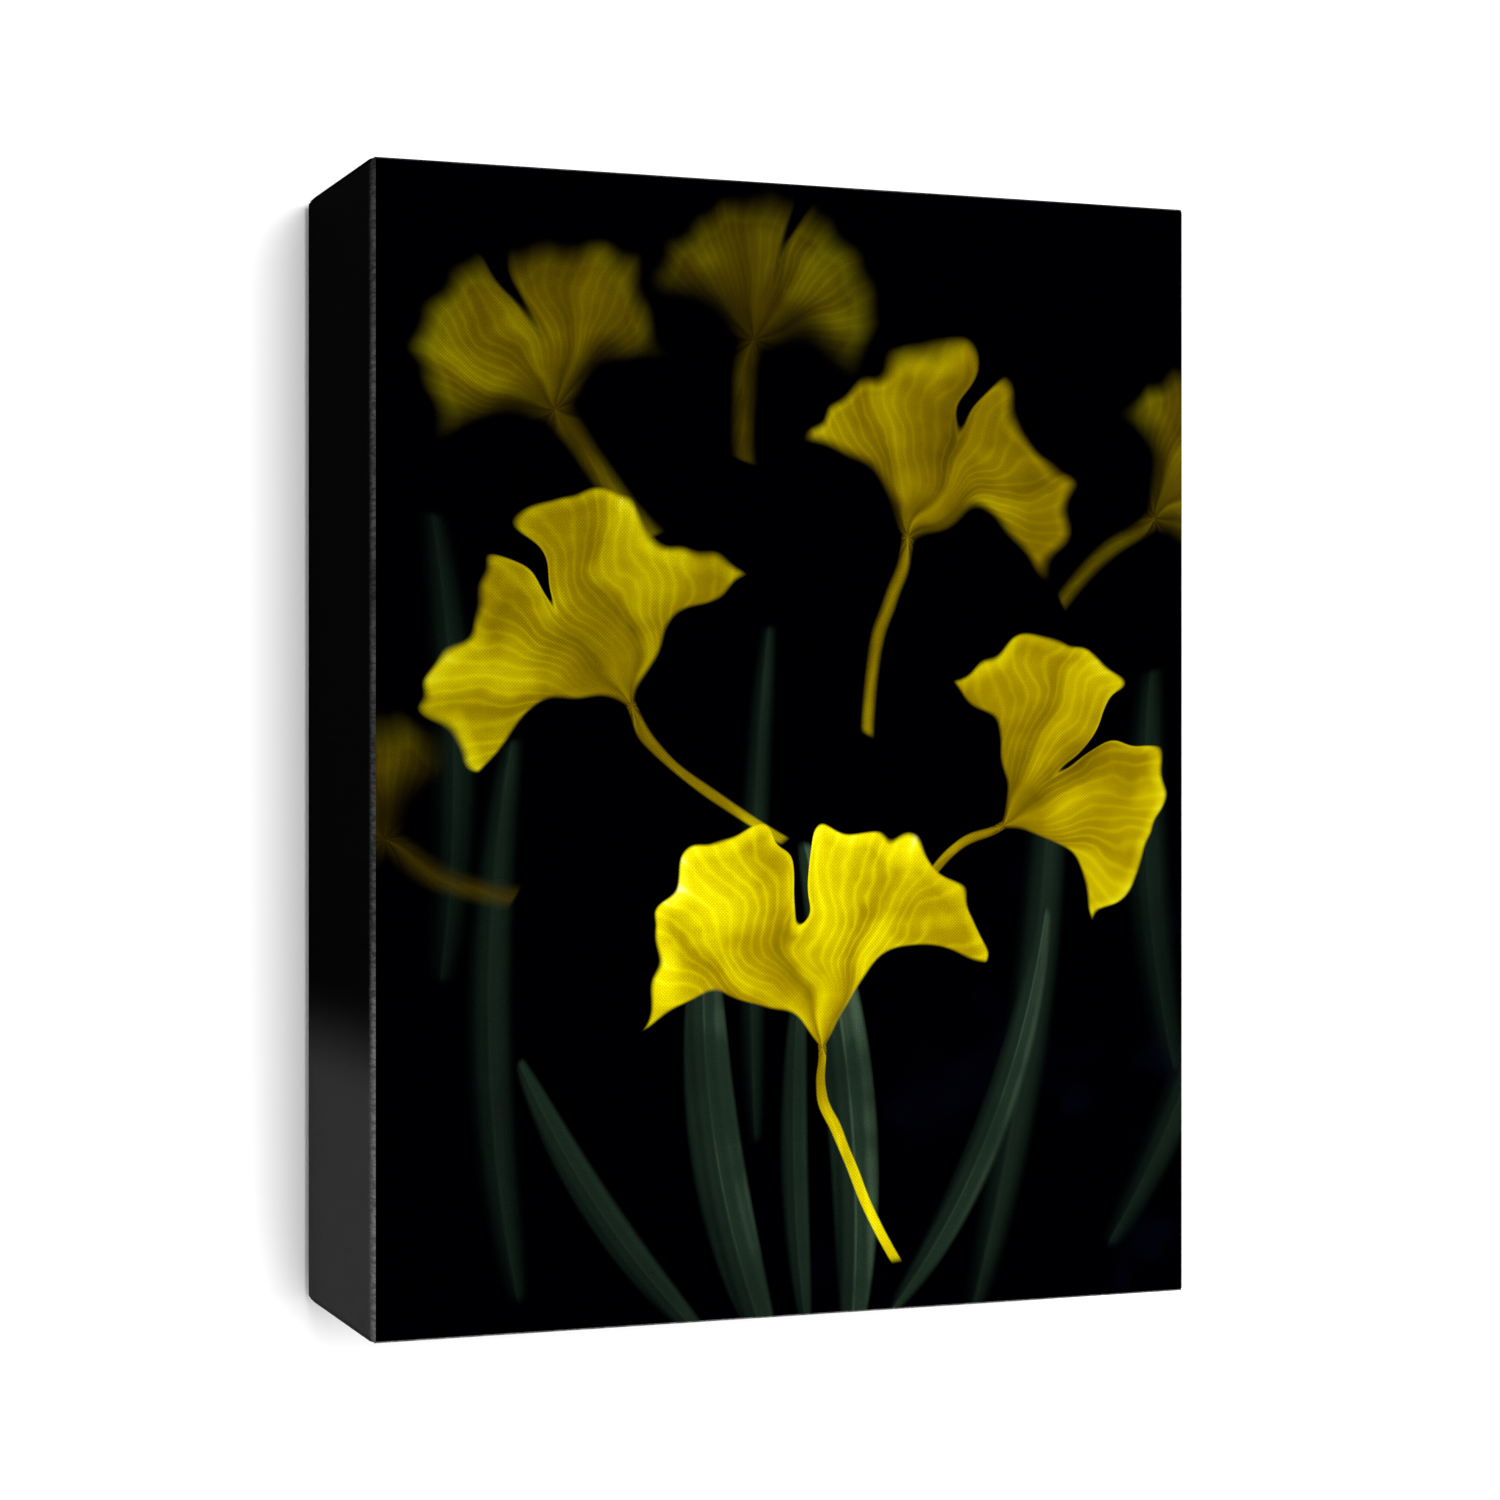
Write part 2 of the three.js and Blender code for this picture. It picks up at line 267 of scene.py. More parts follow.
def make_pine(name, heart, upright):
    """Pine with its heart at a point outside the bar. upright turns the grain along z."""
    material, tree, shader = start_material(name)
    turn = (0, math.pi / 2 if upright else 0, 0)
    place = mapped(object_place(tree), location=heart, rotation=turn)
    grain = use_group(tree, wood_grain, Place=place, Ring_Width=pine_ring)
    early = grain["Fibre"].rise(0.3, 0.7).mixed(pine_early_dark, pine_early_light)
    plug(tree, grain["Late Wood"].mixed(early, pine_late), shader.inputs["Base Color"])
    plug(tree, grain["Fibre"] * 0.25 + 0.5, shader.inputs["Roughness"])
    relief(tree, shader, grain["Height"], pine_relief)
    return material


# Points nearer than weld are one point, and faces that meet at less than flat_angle are one
# face. Edges sharper than crisp_angle are eased. Past smooth_angle the shading has an edge.
weld = 0.001 * mm
flat_angle = math.radians(1)
crisp_angle = math.radians(40)
smooth_angle = math.radians(35)


def dressed(name, material, slot, easing):
    """A CAD piece with its triangles merged and its sharp edges eased, in the same place."""
    cut = bmesh.new()
    cut.from_mesh(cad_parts[name].data)
    bmesh.ops.remove_doubles(cut, verts=cut.verts, dist=weld)
    bmesh.ops.dissolve_limit(cut, angle_limit=flat_angle, verts=cut.verts, edges=cut.edges)
    edges = [e for e in cut.edges if len(e.link_faces) == 2 and e.calc_face_angle() > crisp_angle]
    bmesh.ops.bevel(
        cut, geom=edges, offset=easing, offset_type="OFFSET", segments=2, profile=0.5,
        affect="EDGES", material=-1, clamp_overlap=True,
    )
    finished(cut, "eased_" + name, material, slot, name)


def finished(cut, name, material, slot, *nodes):
    """Makes a shaped mesh a piece that rides on the print and stands for these CAD nodes."""
    mesh = bpy.data.meshes.new(name)
    cut.to_mesh(mesh)
    cut.free()
    mesh.shade_smooth()
    mesh.set_sharp_from_angle(angle=smooth_angle)
    mesh.materials.append(material)
    piece = bpy.data.objects.new(name, mesh)
    bpy.context.scene.collection.objects.link(piece)
    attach(piece, "root")
    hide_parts(*nodes)
    return piece


# Where the tree's heart lies for each bar, and whether the bar is an upright one.
hearts = {
    "bar_top": ((0.02, -0.085, -0.020), False),
    "bar_right": ((0.09, 0.030, 0.0), True),
    "bar_bottom": ((0.0, 0.015, -0.205), False),
    "bar_left": ((-0.125, -0.040, 0.0), True),
}
bar_easing = 0.35 * mm
for bar, (heart, upright) in hearts.items():
    dressed(bar, make_pine("pine_" + bar, heart, upright), "bars", bar_easing)

# ---------------------------------------------------------------------------------------------
# Eight corner keys. Thin sawn beech wedges, tapped into the slots at the inner corners to
# push the bars apart and tighten the cloth.
# ---------------------------------------------------------------------------------------------

beech_pale = shade(214, 176, 128)
beech_dark = shade(186, 142, 94)
beech_fleck = shade(134, 92, 58)
beech_heart = (0.3, 0.1, 0.2)
beech_ring = 1.4 * mm
beech_relief = 0.1 * mm
fleck_scale = (500, 3200, 3200)
key_easing = 0.25 * mm


def make_beech(name, upright):
    """Beech: close even grain with short dark flecks along it."""
    material, tree, shader = start_material(name)
    turn = (0, math.pi / 2 if upright else 0, 0)
    place = mapped(object_place(tree), location=beech_heart, rotation=turn)
    grain = use_group(tree, wood_grain, Place=place, Ring_Width=beech_ring)
    body = grain["Fibre"].mixed(beech_dark, beech_pale)
    flecks = place.stretched(*fleck_scale).cloud(1.0, detail=1).rise(0.66, 0.72)
    plug(tree, (flecks * 0.6).mixed(body, beech_fleck), shader.inputs["Base Color"])
    plug(tree, grain["Fibre"] * 0.2 + 0.55, shader.inputs["Roughness"])
    relief(tree, shader, grain["Height"], beech_relief)
    return material


for side, upright in (("top", False), ("right", True), ("bottom", False), ("left", True)):
    beech = make_beech("beech_" + side, upright)
    for end in "ab":
        dressed(f"key_{side}_{end}", beech, "keys", key_easing)

# ---------------------------------------------------------------------------------------------
# The canvas. One printed cotton cloth, cut flat with its corners trimmed, stretched over the
# bars, folded under itself on the top and bottom sides and stapled down on the back. Only its
# face and sides are printed: its reverse and the rim of its flaps are bare cotton.
# ---------------------------------------------------------------------------------------------

cloth_low, cloth_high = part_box("canvas")
half_width = (cloth_high.x - cloth_low.x) / 2
half_height = 101.5 * mm
depth = 50.3 * mm
flap = 20 * mm
front = cloth_low.y
middle = (cloth_high.z + cloth_low.z) / 2
cloth_thickness = 0.32 * mm
edge_round = 0.7 * mm

# Heights of the printed face in a folded corner, from the plain side's outer face.
under_level = -0.32 * mm
turned_level = -0.30 * mm
cover_level = 0.36 * mm

# The corner's cut: the spare square ends short of the back edge, and the ends of the top and
# bottom flaps are cut at 45 degrees.
square_trim = 2 * mm
flap_end_trim = 1.2 * mm

# The hairpin fold in which the covering cloth turns under itself at a corner's edge.
fold_radius = (cover_level - turned_level) / 2
fold_middle = (cover_level + turned_level) / 2


def ease(value, low, high):
    """0 up to low, 1 from high, and smooth between them."""
    share = min(max((value - low) / (high - low), 0.0), 1.0)
    return share * share * (3 - 2 * share)


def apart(distance):
    """0 to 1: how far the layers of a folded corner have parted, this far from its start."""
    return ease(distance, 0.3 * mm, 5 * mm)


def tucked(past):
    """0 to 1: how far the plain side has sunk in, to make room for the layers over it."""
    return ease(past, -1.5 * mm, 1 * mm)


def hairpin(distance, radius):
    """How far in from a hairpin fold a point lies, from its distance along the cloth."""
    turn = min(distance / radius, math.pi / 2)
    return radius * (math.pi / 2 - math.cos(turn)) + max(distance - radius * math.pi / 2, 0)


def round_the_box(sharp, level):
    """A point of the sharp-edged box, moved to the rounded one and out by level."""
    core = Vector((
        min(sharp.x, half_width - edge_round),
        min(max(sharp.y, edge_round), depth - edge_round),
        min(sharp.z, half_height - edge_round),
    ))
    out = sharp - core
    return core + out.normalized() * (edge_round + level)


def cover_height(inwards, past):
    """Height of the cloth that covers a folded corner. inwards is from the corner's edge, and
    past is how far the cloth has gone past the picture's edge."""
    on_square = ease((past - inwards) / math.sqrt(2), -1.7 * mm, 0.2 * mm)
    on_square = on_square * (1 - ease(past, depth - 3 * mm, depth))
    on_flap = ease(past, depth - 2 * mm, depth) * (1 - ease(inwards, flap, flap + 2 * mm))
    return cover_level * apart(past) * max(on_square, on_flap)


def folded(across, up):
    """Where a point of the flat cut cloth lies on the finished print."""
    over = abs(across) - half_width
    past = abs(up) - half_height
    if over > 0 and past > 0:
        grown = apart(max(over, past))
        if over >= past:
            level = under_level * grown * tucked(past)
            sharp = Vector((half_width - past, over, half_height))
        else:
            radius = max(fold_radius * grown, weld)
            turn = min(over / radius, math.pi / 2)
            level = fold_middle * grown - radius * math.sin(turn)
            sharp = Vector((half_width - hairpin(over, radius), past, half_height))
    elif past > 0:
        radius = max(fold_radius * apart(past), weld)
        turn = min(-over / radius, math.pi / 2)
        level = cover_height(-over, past) - (1 - math.sin(turn)) * radius
        inwards = hairpin(-over, radius)
        if past <= depth:
            sharp = Vector((half_width - inwards, past, half_height))
        else:
            sharp = Vector((half_width - inwards, depth, half_height - (past - depth)))
    elif over > 0:
        level = under_level * apart(over) * tucked(past)
        level = level * (1 - ease(over, depth - 6 * mm, depth - 2 * mm))
        if over <= depth:
            sharp = Vector((half_width, over, half_height + past))
        else:
            sharp = Vector((half_width - (over - depth), depth, half_height + past))
    else:
        level = 0.0
        sharp = Vector((half_width + over, 0.0, half_height + past))
    point = round_the_box(sharp, level)
    sideways, upright = math.copysign(point.x, across), math.copysign(point.z, up)
    return Vector((sideways, front + point.y, middle + upright))


def body_of_cloth(across, up):
    """The share of its thickness that the cloth keeps, pressed thin where a fold starts."""
    over = abs(across) - half_width
    past = abs(up) - half_height
    thinnest = 0.01
    if over > 0 and past > 0:
        return max(apart(max(over, past)), thinnest)
    return 1.0


# Rows of the cloth's mesh: how far they lie from a fold, from the line where the covering flap
# comes down, and from each other in between.
fold_rows = [0.0, 0.14 * mm, 0.3 * mm, 0.5 * mm, 0.8 * mm]
slope_rows = [0.0, 0.7 * mm, 1.4 * mm, 2 * mm]
wide_rows = 4.5 * mm
least_gap = 1 * mm


def cloth_rows(half):
    """Where the rows of the cloth's mesh cross it: close at the folds, wide between."""
    back = half + depth
    rows = {0.0, back - square_trim, back + flap}
    for fold in (half, back):
        rows.update(fold + offset for offset in fold_rows)
        rows.update(fold - offset for offset in fold_rows)
    rows.update(half - flap - offset for offset in slope_rows)
    inner = half - flap
    for start, stop in [(0, inner - 2 * mm), (inner, half), (half, back), (back, back + flap)]:
        pieces = max(round((stop - start) / wide_rows), 1)
        spaced = [start + (stop - start) * i / pieces for i in range(1, pieces)]
        rows.update(row for row in spaced if min(abs(row - other) for other in rows) > least_gap)
    ahead = sorted(rows)
    return [-row for row in ahead[:0:-1]] + ahead


def crease(cloth, inside, offsets, slope):
    """Adds rows along 45 degrees, where across + slope * up is at each offset, in some faces."""
    for offset in offsets:
        faces = [f for f in cloth.faces if inside(f.calc_center_median())]
        geometry = {item for f in faces for item in (*f.edges, *f.verts, f)}
        bmesh.ops.bisect_plane(
            cloth, geom=list(geometry), dist=weld,
            plane_co=(offset, 0, 0), plane_no=(1, slope, 0),
        )


def cut_cloth():
    """The flat cloth, cut out and with rows wherever it will bend."""
    across, up = cloth_rows(half_width), cloth_rows(half_height)
    cloth = bmesh.new()
    bmesh.ops.create_grid(cloth, x_segments=len(across) - 1, y_segments=len(up) - 1, size=1)
    for vert in cloth.verts:
        vert.co.x = across[round((vert.co.x + 1) / 2 * (len(across) - 1))]
        vert.co.y = up[round((vert.co.y + 1) / 2 * (len(up) - 1))]
    for end in (-1, 1):
        for rise in (-1, 1):
            crease_corner(cloth, end, rise)
    waste = [f for f in cloth.faces if is_waste(f.calc_center_median())]
    bmesh.ops.delete(cloth, geom=waste, context="FACES")
    return cloth


def crease_corner(cloth, end, rise):
    """The diagonal rows of one corner: its fold, the ridge over it and the flap's cut end."""
    fold = [0, 0.25 * mm, -0.25 * mm]
    ridge = [0.2 * mm, -0.3 * mm, -0.8 * mm, -1.3 * mm, -1.7 * mm]
    margin = 3 * mm

    def past_of(point):
        return rise * point.y - half_height

    def over_of(point):
        return end * point.x - half_width

    def in_square(point):
        return over_of(point) > 0 and past_of(point) > 0

    def in_cover(point):
        return -depth - margin < over_of(point) < 0 and 0 < past_of(point) < depth

    def in_flap(point):
        return -flap - margin < over_of(point) < 0 and past_of(point) > depth - margin

    corner = half_width + half_height
    diagonal = [end * (half_width - half_height + offset) for offset in fold]
    crease(cloth, in_square, diagonal, -end * rise)
    over_it = [end * (corner + offset * math.sqrt(2)) for offset in ridge]
    crease(cloth, in_cover, over_it, end * rise)
    crease(cloth, in_flap, [end * (corner + depth - flap_end_trim)], end * rise)


def uneven(distance):
    """How far scissors strayed from a straight line, at a distance along it."""
    stroke, stray = 14 * mm, 0.5 * mm
    return noise.noise(Vector((distance / stroke, 0.37, 0))) * stray


def is_waste(point):
    """Whether a point of the cloth is in what was cut away."""
    over = abs(point.x) - half_width
    past = abs(point.y) - half_height
    if over > 0 and past > 0:
        return max(over, past) > depth - square_trim
    return over < 0 and past + over > depth - flap_end_trim and past > depth - flap_end_trim


cloth_width = 2 * (half_width + depth + flap)
cloth_length = 2 * (half_height + depth + flap)
at_edge = 0.01 * mm
cloth = cut_cloth()
for vert in cloth.verts:
    if abs(vert.co.x) > cloth_width / 2 - at_edge:
        vert.co.x += uneven(vert.co.y + vert.co.x)
    if abs(vert.co.y) > cloth_length / 2 - at_edge:
        vert.co.y += uneven(vert.co.x - vert.co.y)
cloth_area = sum(f.calc_area() for f in cloth.faces)
flat_map = cloth.loops.layers.uv.new("flat_cloth")
for face in cloth.faces:
    for loop in face.loops:
        across, up = loop.vert.co.x, loop.vert.co.y
        loop[flat_map].uv = (across / cloth_width + 0.5, up / cloth_length + 0.5)
body_weight = cloth.verts.layers.deform.verify()
for vert in cloth.verts:
    vert[body_weight][0] = body_of_cloth(vert.co.x, vert.co.y)
    vert.co = folded(vert.co.x, vert.co.y)


# A slub is a thicker stretch of a thread, so it is long along the thread and narrow across it.
slub_along = 90
slub_across = 900


def make_plain_weave():
    """Threads over and under each other. Place is on the flat cloth. Pitch is two threads."""
    group, given, leave = start_group(
        "plain weave",
        {"Place": "Vector", "Pitch": "Float"},
        {"Height": "Float", "Over": "Float", "Slub": "Float"},
    )
    place = given["Place"]
    weft = place.stretched(slub_along, slub_across).cloud(1.0, detail=1)
    warp = place.stretched(slub_across, slub_along).cloud(1.0, detail=1)
    slub = (weft + warp) * 0.5
    across, up, _ = place.parts()
    turn = given["Pitch"] / math.tau
    column, row = across / turn, up / turn
    checker = column.maths("SINE") * row.maths("SINE")
    crown = checker.size().power(0.5)
    plug(group, crown * (slub * 0.6 + 0.5), leave.inputs["Height"])
    plug(group, checker.rise(-0.5, 0.5), leave.inputs["Over"])
    plug(group, slub, leave.inputs["Slub"])
    return group


def make_fan_leaf():
    """A printed fan-shaped leaf in a frame of its own: stalk down, rim at a reach of 1.
    Drift, Crumple and Grain are clouds that all the leaves share."""
    group, given, leave = start_group(
        "fan leaf",
        {
            "Place": "Vector", "Softness": "Float", "Seed": "Float",
            "Drift": "Vector", "Crumple": "Float", "Grain": "Float",
        },
        {"Mask": "Float", "Light": "Float"},
    )
    soft, seed, crumple = given["Softness"], given["Seed"], given["Crumple"]

    # The leaf waves about its own frame, the rim more than the stalk's foot.
    across, up, _ = given["Place"].parts()
    drift_across, drift_up, _ = given["Drift"].parts()
    loose = up.rise(-0.9, 0.5) * 0.48
    across = across + drift_across * loose
    up = up + drift_up * loose
    reach = (across * across + up * up).power(0.5)
    angle = across.maths("ARCTAN2", up)

    # Its outline: a round rim with lobes, ripples and one deep cleft, two straight sides that
    # open wider as they go up, and a curved stalk.
    lobes = (angle * 5.0 + seed).wave()
    ripples = (angle * 21.0 + seed * 3.0 + reach * 2.0).maths("SINE")
    cleft_side = angle * reach * 17.0
    cleft = (cleft_side * cleft_side * -1.0).maths("EXPONENT")
    rim = (angle * angle * -0.11) + lobes * 0.10 + ripples * 0.018 - cleft * 0.36 + 0.93
    half_angle = reach.rise(0.0, 1.0) * 0.80 + 0.60
    to_rim = rim - reach
    to_side = (half_angle - angle.size()) * reach
    fan = to_rim.rise(soft * -1.0, soft) * to_side.rise(soft * -1.0, soft)
    stalk_edge = (across - up * up * 0.22).size().less_from(0.022)
    stalk = stalk_edge.rise(soft * -0.5, soft * 0.5) * up.rise(0.04, 0.0) * up.rise(-1.02, -0.98)

    # Its light: broad pleats, fine veins, a bright rim and shadow in the cleft.
    fold = angle * 9.0 + seed * 2.0 + crumple * 3.0
    pleats = (fold + fold.maths("SINE") * 0.7).wave()
    veins = (angle * 66.0 + given["Grain"] * 5.0).wave().power(3.0) * reach.rise(0.15, 0.5)
    bright_rim = to_rim.rise(0.09, 0.015)
    shadow = cleft.rise(0.05, 0.9) * reach.rise(0.2, 0.6)
    light = pleats * 0.34 + veins * 0.13 + bright_rim * 0.24 + reach.rise(0.1, 0.9) * 0.20 + 0.16
    light = light + given["Grain"] * 0.22 - shadow * 0.2
    plug(group, fan.maths("MAXIMUM", stalk), leave.inputs["Mask"])
    plug(group, light - stalk * fan.less_from(1.0) * 0.25, leave.inputs["Light"])
    return group


def make_blade():
    """A printed slender leaf in a frame of its own: from the origin up to 1, curving aside."""
    group, given, leave = start_group(
        "slender blade",
        {"Place": "Vector", "Softness": "Float", "Bend": "Float", "Breadth": "Float"},
        {"Mask": "Float", "Light": "Float"},
    )
    soft = given["Softness"]
    across, up, _ = given["Place"].parts()
    aside = across - up * up * given["Bend"]
    along = up.maths("MAXIMUM", 0.0).maths("MINIMUM", 1.0)
    breadth = (along * (along.less_from(1.0) + 0.02)).power(0.6) * 2.3 * given["Breadth"]
    ends = up.rise(-0.01, 0.02) * up.rise(1.005, 0.985)
    mask = (breadth - aside.size()).rise(soft * -1.0, soft) * ends
    shaded = (aside / (breadth + 0.004)).rise(-1.0, 1.0)
    midrib = aside.size().rise(0.006, 0.0)
    veins = (aside * 240.0).wave() * 0.10
    light = shaded * 0.5 + midrib * 0.25 + up.rise(0.0, 1.0) * 0.2 + veins
    plug(group, mask, leave.inputs["Mask"])
    plug(group, light, leave.inputs["Light"])
    return group


plain_weave = make_plain_weave()
fan_leaf = make_fan_leaf()
slender_blade = make_blade()
thread_pitch = 0.61 * mm

# Printed inks, named by how they look under the lamps.
ground_ink = shade(0, 0, 1)
haze_ink = shade(3, 4, 14)
fan_inks = [
    (0.00, shade(84, 66, 0)),
    (0.28, shade(146, 124, 0)),
    (0.52, shade(186, 170, 0)),
    (0.78, shade(214, 202, 4)),
    (0.92, shade(226, 219, 30)),
    (1.00, shade(236, 231, 120)),
]
ochre_inks = [
    (0.00, shade(88, 68, 0)),
    (0.35, shade(156, 128, 0)),
    (0.70, shade(198, 172, 0)),
    (1.00, shade(222, 208, 30)),
]
blade_inks = [
    (0.00, shade(4, 10, 8)),
    (0.45, shade(25, 39, 29)),
    (0.80, shade(58, 76, 58)),
    (1.00, shade(96, 116, 88)),
]

# The design, from the back forwards. Places are in millimetres from the middle of the picture. A
# fan is (across, up, turn in degrees, reach, softness, brightness, ochre, seed), and a blade is
# (across, up, turn in degrees, length, bend, breadth, softness, brightness).
far_blades = [
    (-52, -96, 12, 96, 0.20, 0.030, 0.020, 0.35),
    (34, -104, -16, 118, -0.14, 0.026, 0.018, 0.40),
    (62, -92, -34, 84, -0.22, 0.036, 0.024, 0.38),
    (-8, -70, 3, 92, 0.08, 0.020, 0.016, 0.38),
    (-66, -40, -8, 80, -0.16, 0.030, 0.030, 0.24),
    (76, -60, 14, 74, 0.18, 0.040, 0.034, 0.30),
]
far_fans = [
    (-44, 60, 24, 27, 0.17, 0.28, 0.30, 4.1),
    (-8, 74, -18, 22, 0.22, 0.18, 0.10, 1.7),
    (72, 44, -62, 25, 0.13, 0.24, 0.20, 6.3),
    (-74, -18, 58, 22, 0.24, 0.14, 0.50, 2.2),
]
near_blades = [
    (-4, -110, 24, 80, 0.26, 0.060, 0.006, 0.80),
    (10, -110, -6, 92, -0.20, 0.050, 0.006, 0.95),
    (-16, -106, 46, 62, 0.20, 0.046, 0.010, 0.62),
    (18, -102, -40, 76, -0.30, 0.040, 0.010, 0.74),
    (2, -106, 8, 66, 0.12, 0.036, 0.008, 0.55),
]
near_fans = [
    (22, 38, -26, 35, 0.050, 0.48, 0.65, 2.9),
    (-32, 8, 38, 37, 0.020, 0.62, 0.20, 0.6),
    (40, -12, -58, 34, 0.016, 0.72, 0.40, 5.2),
    (4, -52, 8, 42, 0.010, 1.00, 0.00, 3.4),
]


def own_frame(place, across, up, turn, size):
    """A place in the frame of one printed leaf."""
    return mapped(place, (across * mm, up * mm, 0), (0, 0, math.radians(turn)), (size * mm,) * 3)


def print_fans(ground, place, sunlight, clouds, fans):
    """Prints fan leaves over what is printed already."""
    tree = place.tree
    for across, up, turn, reach, softness, brightness, ochre, seed in fans:
        own = own_frame(place, across, up, turn, reach)
        leaf = use_group(tree, fan_leaf, Place=own, Softness=softness, Seed=seed, **clouds)
        lit = leaf["Light"] * (sunlight * 0.46 + 0.54) * (0.75 + 0.25 * brightness)
        ink = blend(tree, ochre, lit.coloured(fan_inks), lit.coloured(ochre_inks))
        dimmed = blend(tree, brightness, ground_ink, ink)
        ground = leaf["Mask"].mixed(ground, dimmed)
    return ground


def print_blades(ground, place, sunlight, blades):
    """Prints slender blades over what is printed already."""
    tree = place.tree
    for across, up, turn, length, bend, breadth, softness, brightness in blades:
        own = own_frame(place, across, up, turn, length)
        form = {"Softness": softness, "Bend": bend, "Breadth": breadth}
        leaf = use_group(tree, slender_blade, Place=own, **form)
        dimmed = (leaf["Light"] * (sunlight * 0.35 + 0.75) * brightness).coloured(blade_inks)
        ground = leaf["Mask"].mixed(ground, dimmed)
    return ground


def flat_place(tree):
    """Where a point was on the flat cloth, in metres from its middle."""
    where = tree.nodes.new("ShaderNodeUVMap")
    where.uv_map = "flat_cloth"
    return Wire(tree, where.outputs[0]).moved(-0.5, -0.5).stretched(cloth_width, cloth_length, 0)


# What the print does past the design: black sides with a painted sheen that pales them to
# charcoal low down, ink that runs on over the back for a finger's width, and a lighter line at
# the front folds, painted highlight where the rounded fold catches the light and partly rubbed
# ink, where each thread that runs round the bar is worn and lit by itself.
side_ink = shade(1, 1, 1)
painted_sheen_charcoal = shade(43, 43, 44)
rub_and_highlight_grey = shade(224, 224, 225)
bare_cotton = shade(226, 222, 212)
charcoal_from = -61.5 * mm
black_from = -37.5 * mm
bleed = 11 * mm
rub_and_highlight_width = 4.0 * mm
rub_and_highlight_strength = 0.14
wear_and_highlight_along = 300
wear_and_highlight_across = 1500
hollow_shade_cotton = shade(190, 184, 170)
ink_gloss = 0.0005
print_relief = 0.10 * mm


def make_printed_canvas():
    """The printed side: the design on the face, plain ink past it with a painted sheen and a
    painted highlight at the front folds, and bare cotton on the back.
    """
    material, tree, shader = start_material("printed_canvas")
    place = flat_place(tree)
    weave = use_group(tree, plain_weave, Place=place, Pitch=thread_pitch)
    across, up, _ = place.parts()
    over = across.size() - half_width
    past = up.size() - half_height
    outside = over.maths("MAXIMUM", past)
    off_face = outside.rise(-0.30 * mm, -0.22 * mm)

    # Sunlight lies in patches over the whole design, and a little haze low on the right.
    sunlight = place.moved(0.03, 0.01).cloud(34.0, detail=3).rise(0.40, 0.60)
    clouds = {
        "Drift": place.moved(0.7, 0.3).cloud(52.0, detail=1, output=1).moved(-0.5, -0.5, -0.5),
        "Crumple": place.moved(0.2, 0.9).cloud(80.0, detail=2) - 0.5,
        "Grain": place.moved(0.4, 0.1).cloud(200.0, detail=1) - 0.5,
    }
    haze = place.moved(0.5, 0.2).cloud(40.0, detail=2).rise(0.52, 0.75)
    haze = haze * across.rise(-0.02, 0.07) * up.rise(0.0, -0.05)
    design = haze.mixed(ground_ink, haze_ink)
    design = print_blades(design, place, sunlight, far_blades)
    design = print_fans(design, place, sunlight, clouds, far_fans)
    design = print_blades(design, place, sunlight, near_blades)
    design = print_fans(design, place, sunlight, clouds, near_fans)
    # Painted light and shade of the weave: the design is lighter and darker from thread to thread.
    weave_light_and_shade = [design, None, None, weave["Over"] * 0.24 + 0.86]
    design = add_node(tree, "ShaderNodeVectorMath", weave_light_and_shade, operation="SCALE")

    # The sides' painted sheen pales them to charcoal low down. The line at the front folds is
    # painted highlight and partly rubbed ink: it is stronger low down, and changes from thread to
    # thread along each fold.
    sides = up.rise(black_from, charcoal_from).power(2.0).mixed(side_ink, painted_sheen_charcoal)
    printed = off_face.mixed(design, sides)
    wear_and_highlight = place.cloud(55.0, detail=3).rise(0.25, 0.75) * 0.4 + up.rise(-0.02, -0.06) * 0.55 + 0.18
    round_sides = place.stretched(wear_and_highlight_along, wear_and_highlight_across).cloud(1.0, detail=1)
    round_ends = place.stretched(wear_and_highlight_across, wear_and_highlight_along).cloud(1.0, detail=1)
    on_side = (over - past).rise(-0.1 * mm, 0.1 * mm)
    single = round_ends + (round_sides - round_ends) * on_side
    worn_and_highlit = wear_and_highlight * (weave["Over"] * 0.7 + 0.45) * (single.rise(0.32, 0.68) * 0.9 + 0.55)
    rubbed_and_highlit = off_face * outside.rise(rub_and_highlight_width, 0.1 * mm) * worn_and_highlit
    printed = (rubbed_and_highlit * rub_and_highlight_strength).mixed(printed, rub_and_highlight_grey)

    # The ink ends on the back, a little raggedly from thread to thread.
    ragged = outside + (weave["Slub"] - 0.5) * mm
    unprinted = (ragged - (depth + bleed)).rise(-0.2 * mm, 0.2 * mm)
    # Painted shade: the bare cotton is darker in the weave's hollows.
    cotton = (weave["Height"] * 0.25 + 0.8).mixed(hollow_shade_cotton, bare_cotton)
    plug(tree, unprinted.mixed(printed, cotton), shader.inputs["Base Color"])
    plug(tree, weave["Slub"] * 0.2 + 0.62, shader.inputs["Roughness"])
    shader.inputs["Specular IOR Level"].default_value = ink_gloss
    relief(tree, shader, weave["Height"], print_relief)
    return material


reverse_cotton = shade(222, 212, 188)
rim_cotton = shade(236, 232, 222)
shaded_cotton = shade(168, 156, 130)
husk_brown = shade(120, 98, 70)
husk_scale = (700, 1900)
cotton_gloss = 0.15
reverse_relief = 0.15 * mm


